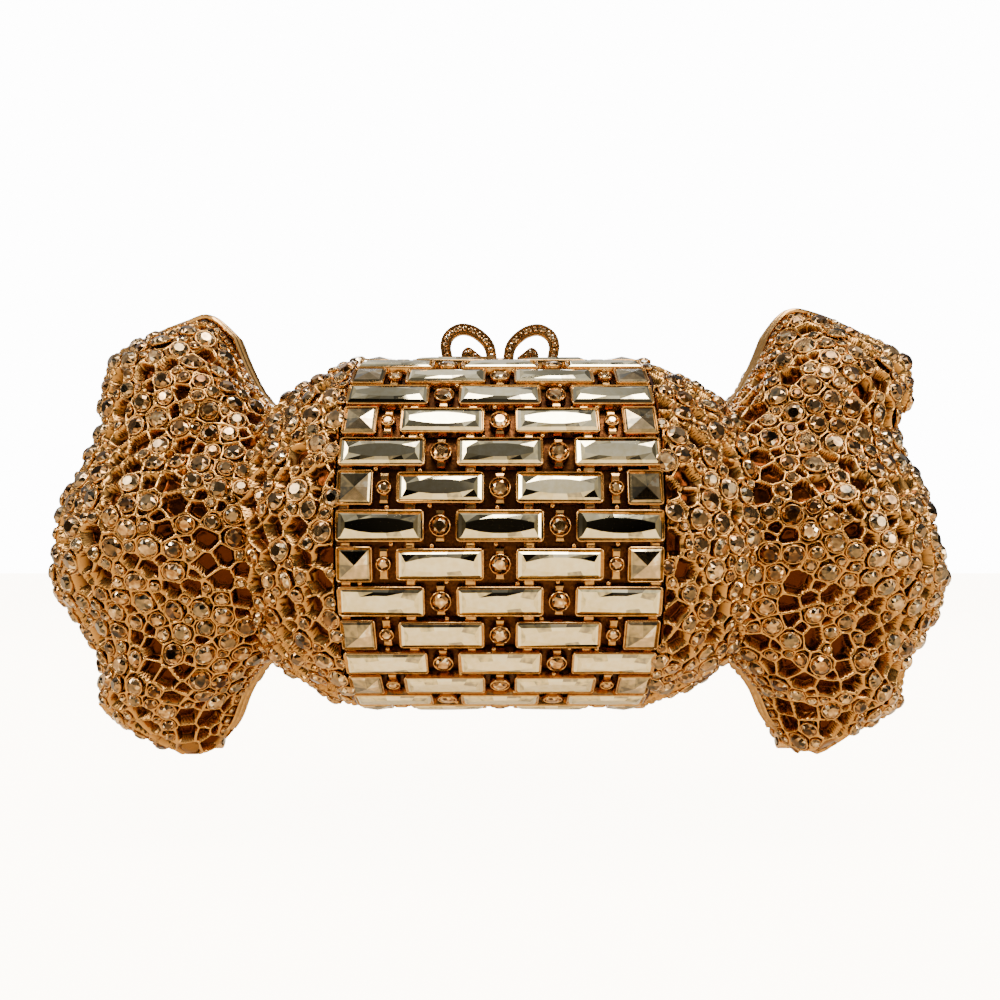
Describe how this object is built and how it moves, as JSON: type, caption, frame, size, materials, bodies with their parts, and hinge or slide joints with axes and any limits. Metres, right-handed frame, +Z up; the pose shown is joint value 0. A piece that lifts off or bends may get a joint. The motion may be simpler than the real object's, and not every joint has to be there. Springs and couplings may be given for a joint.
{
  "type": "evening bag",
  "caption": "Rigid metal evening bag shaped like a wrapped sweet, a stone-set barrel with flared openwork ends; the front half opens on hinges at its feet.",
  "frame": {"origin": "on the floor under the middle of the closed bag, which stands on its feet", "axes": "+X along the bag towards the right wrapper end, +Y from the front half to the back half, +Z up"},
  "size_m": [0.1955, 0.072, 0.0992],
  "materials": {
    "cast_gold_web": "gloss rose-gold plating",
    "polished_rail": "polished rose-gold plating",
    "crystal_clear": "foil-backed cut crystal, clear",
    "crystal_champagne": "foil-backed cut crystal, champagne",
    "lining_leatherette": "metallic gold leatherette",
    "pin_steel": "drawn steel"
  },
  "bodies": {
    "back_half": {"back_frame": "polished_rail", "back_barrel_shell": "cast_gold_web", "back_left_wrapper": "cast_gold_web", "back_right_wrapper": "cast_gold_web", "back_lining": "lining_leatherette", "back_left_end_panel": "lining_leatherette", "back_right_end_panel": "lining_leatherette", "back_left_hinge": "polished_rail", "back_right_hinge": "polished_rail", "back_clasp_base": "polished_rail", "back_clasp_ear": "polished_rail", "back_stone_row_01": "crystal_champagne", "back_stone_row_02": "crystal_clear", "back_stone_row_03": "crystal_champagne", "back_stone_row_04": "crystal_clear", "back_stone_row_05": "crystal_champagne", "back_stone_row_06": "crystal_clear", "back_stone_row_07": "crystal_champagne", "back_stone_row_08": "crystal_clear", "back_stone_row_09": "crystal_champagne", "back_stone_row_10": "crystal_clear", "back_stone_row_11": "crystal_champagne", "back_stone_row_12": "crystal_clear", "back_stone_row_13": "crystal_champagne", "back_stone_row_14": "crystal_clear", "back_stone_row_15": "crystal_champagne", "left_hinge_pin": "pin_steel", "right_hinge_pin": "pin_steel"},
    "front_half": {"front_frame": "polished_rail", "front_barrel_shell": "cast_gold_web", "front_left_wrapper": "cast_gold_web", "front_right_wrapper": "cast_gold_web", "front_lining": "lining_leatherette", "front_left_end_panel": "lining_leatherette", "front_right_end_panel": "lining_leatherette", "front_left_hinge": "polished_rail", "front_right_hinge": "polished_rail", "front_clasp_base": "polished_rail", "front_clasp_ear": "polished_rail", "front_stone_row_01": "crystal_champagne", "front_stone_row_02": "crystal_clear", "front_stone_row_03": "crystal_champagne", "front_stone_row_04": "crystal_clear", "front_stone_row_05": "crystal_champagne", "front_stone_row_06": "crystal_clear", "front_stone_row_07": "crystal_champagne", "front_stone_row_08": "crystal_clear", "front_stone_row_09": "crystal_champagne", "front_stone_row_10": "crystal_clear", "front_stone_row_11": "crystal_champagne", "front_stone_row_12": "crystal_clear", "front_stone_row_13": "crystal_champagne", "front_stone_row_14": "crystal_clear", "front_stone_row_15": "crystal_champagne"}
  },
  "joints": [
    {"name": "front_opens", "type": "hinge", "parent": "back_half", "child": "front_half", "pos_m": [0, 0, 0.0016], "axis": [1, 0, 0], "range_deg": [0, 70]}
  ]
}
